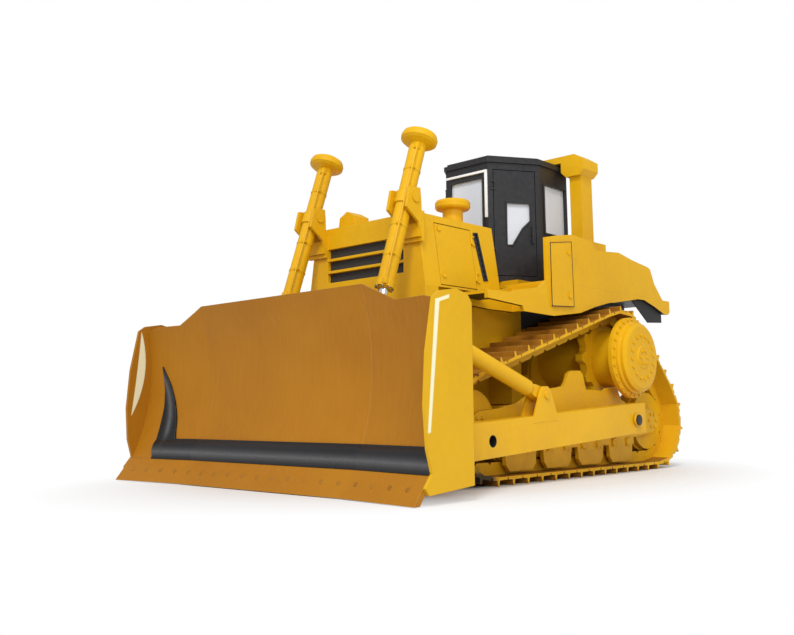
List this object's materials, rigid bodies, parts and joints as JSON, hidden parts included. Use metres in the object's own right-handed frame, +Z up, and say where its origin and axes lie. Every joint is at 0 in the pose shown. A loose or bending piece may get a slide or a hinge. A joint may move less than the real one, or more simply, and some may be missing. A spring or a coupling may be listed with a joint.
{
  "type": "crawler bulldozer",
  "caption": "Crawler bulldozer with raised drive sprockets, a semi-U blade lifted by two tall cylinders, tilt cylinders, a cab with opening doors and a roll-over frame.",
  "frame": {"origin": "on the ground under the middle of the overall length and width", "axes": "+X to the operator's left, +Y to the rear, +Z up"},
  "size_m": [3.94, 5.22, 3.48],
  "materials": {
    "yellow_paint": "satin, worn",
    "blade_face": "rust-brown, scoured",
    "track_steel": "rusted and polished at the edges",
    "black_paint": "satin",
    "chrome_rod": "polished",
    "clear_glass": "clear",
    "seat_vinyl": "matt",
    "dark_core": "matt"
  },
  "bodies": {
    "tractor": {"main_frame": "yellow_paint", "engine": "dark_core", "radiator": "dark_core", "radiator_guard": "yellow_paint", "hood": "yellow_paint", "pre_cleaner": "yellow_paint", "exhaust_outlet": "yellow_paint", "yokes": "yellow_paint", "cab_shell": "black_paint", "cab_roof": "black_paint", "cab_glass": "clear_glass", "seat": "seat_vinyl", "console": "black_paint", "rops": "yellow_paint", "fenders": "yellow_paint", "inner_fenders": "black_paint", "side_boxes": "yellow_paint", "rear_tank": "yellow_paint", "drawbar": "yellow_paint", "track_frame_left": "yellow_paint", "track_frame_right": "yellow_paint", "rollers": "yellow_paint", "final_drive_left": "yellow_paint", "final_drive_right": "yellow_paint", "track_left": "track_steel", "track_right": "track_steel"},
    "push_arms": {"push_arms": "yellow_paint"},
    "blade": {"mouldboard": "blade_face", "wear_strip": "black_paint", "cutting_edge": "blade_face", "end_plates": "yellow_paint", "blade_back": "yellow_paint"},
    "lift_barrel_left": {"lift_barrel_left": "yellow_paint"},
    "lift_rod_left": {"lift_rod_left": "chrome_rod"},
    "tilt_barrel_left": {"tilt_barrel_left": "yellow_paint"},
    "tilt_rod_left": {"tilt_rod_left": "chrome_rod"},
    "cab_door_left": {"cab_door_left": "black_paint", "door_glass_left": "clear_glass"},
    "engine_door_left": {"engine_door_left": "yellow_paint"},
    "lift_barrel_right": {"lift_barrel_right": "yellow_paint"},
    "lift_rod_right": {"lift_rod_right": "chrome_rod"},
    "tilt_barrel_right": {"tilt_barrel_right": "yellow_paint"},
    "tilt_rod_right": {"tilt_rod_right": "chrome_rod"},
    "cab_door_right": {"cab_door_right": "black_paint", "door_glass_right": "clear_glass"},
    "engine_door_right": {"engine_door_right": "yellow_paint"}
  },
  "joints": [
    {"name": "blade_lift", "type": "hinge", "parent": "tractor", "child": "push_arms", "pos_m": [0, 1.13, 0.53], "axis": [-1, 0, 0], "range_deg": [-8.5, 18]},
    {"name": "blade_pitch", "type": "hinge", "parent": "push_arms", "child": "blade", "pos_m": [0, -1.92, 0.34914], "axis": [-1, 0, 0], "range_deg": [-5, 5]},
    {"name": "lift_cylinder_swing_left", "type": "hinge", "parent": "tractor", "child": "lift_barrel_left", "pos_m": [0.65, -1.29, 2.55], "axis": [-1, 0, 0], "range_deg": [-3.58, 7.25]},
    {"name": "lift_rod_slide_left", "type": "slide", "parent": "lift_barrel_left", "child": "lift_rod_left", "axis": [0, -0.3103, -0.9506], "range_m": [-0.9431, 0.4506]},
    {"name": "tilt_cylinder_swing_left", "type": "hinge", "parent": "push_arms", "child": "tilt_barrel_left", "pos_m": [1.48, -0.45, 0.77], "axis": [-1, 0, 0], "range_deg": [-1.42, 1.42]},
    {"name": "tilt_rod_slide_left", "type": "slide", "parent": "tilt_barrel_left", "child": "tilt_rod_left", "axis": [0, -0.9456, 0.3252], "range_m": [-0.0864, 0.0864]},
    {"name": "lift_cylinder_swing_right", "type": "hinge", "parent": "tractor", "child": "lift_barrel_right", "pos_m": [-0.65, -1.29, 2.55], "axis": [-1, 0, 0], "range_deg": [-3.58, 7.25]},
    {"name": "lift_rod_slide_right", "type": "slide", "parent": "lift_barrel_right", "child": "lift_rod_right", "axis": [0, -0.3103, -0.9506], "range_m": [-0.9431, 0.4506]},
    {"name": "tilt_cylinder_swing_right", "type": "hinge", "parent": "push_arms", "child": "tilt_barrel_right", "pos_m": [-1.48, -0.45, 0.77], "axis": [-1, 0, 0], "range_deg": [-1.42, 1.42]},
    {"name": "tilt_rod_slide_right", "type": "slide", "parent": "tilt_barrel_right", "child": "tilt_rod_right", "axis": [0, -0.9456, 0.3252], "range_m": [-0.0864, 0.0864]},
    {"name": "cab_door_hinge_left", "type": "hinge", "parent": "tractor", "child": "cab_door_left", "pos_m": [0.34717, 0.46886, 2.6], "axis": [0, 0, -1], "range_deg": [0, 90]},
    {"name": "engine_door_hinge_left", "type": "hinge", "parent": "tractor", "child": "engine_door_left", "pos_m": [0.75192, -0.426, 2.08], "axis": [-0.1434, 0, 0.9897], "range_deg": [0, 90]},
    {"name": "cab_door_hinge_right", "type": "hinge", "parent": "tractor", "child": "cab_door_right", "pos_m": [-0.34717, 0.46886, 2.6], "axis": [0, 0, 1], "range_deg": [0, 90]},
    {"name": "engine_door_hinge_right", "type": "hinge", "parent": "tractor", "child": "engine_door_right", "pos_m": [-0.75192, -0.426, 2.08], "axis": [-0.1434, 0, -0.9897], "range_deg": [0, 90]}
  ],
  "couplings": [
    {"joint": "lift_cylinder_swing_left", "follows": "blade_lift", "ratio": 0.38625},
    {"joint": "lift_rod_slide_left", "follows": "blade_lift", "m_per_rad": -2.9702},
    {"joint": "tilt_cylinder_swing_left", "follows": "blade_pitch", "ratio": 0.24477},
    {"joint": "tilt_rod_slide_left", "follows": "blade_pitch", "m_per_rad": -0.87579},
    {"joint": "lift_cylinder_swing_right", "follows": "blade_lift", "ratio": 0.38625},
    {"joint": "lift_rod_slide_right", "follows": "blade_lift", "m_per_rad": -2.9702},
    {"joint": "tilt_cylinder_swing_right", "follows": "blade_pitch", "ratio": 0.24477},
    {"joint": "tilt_rod_slide_right", "follows": "blade_pitch", "m_per_rad": -0.87579}
  ]
}
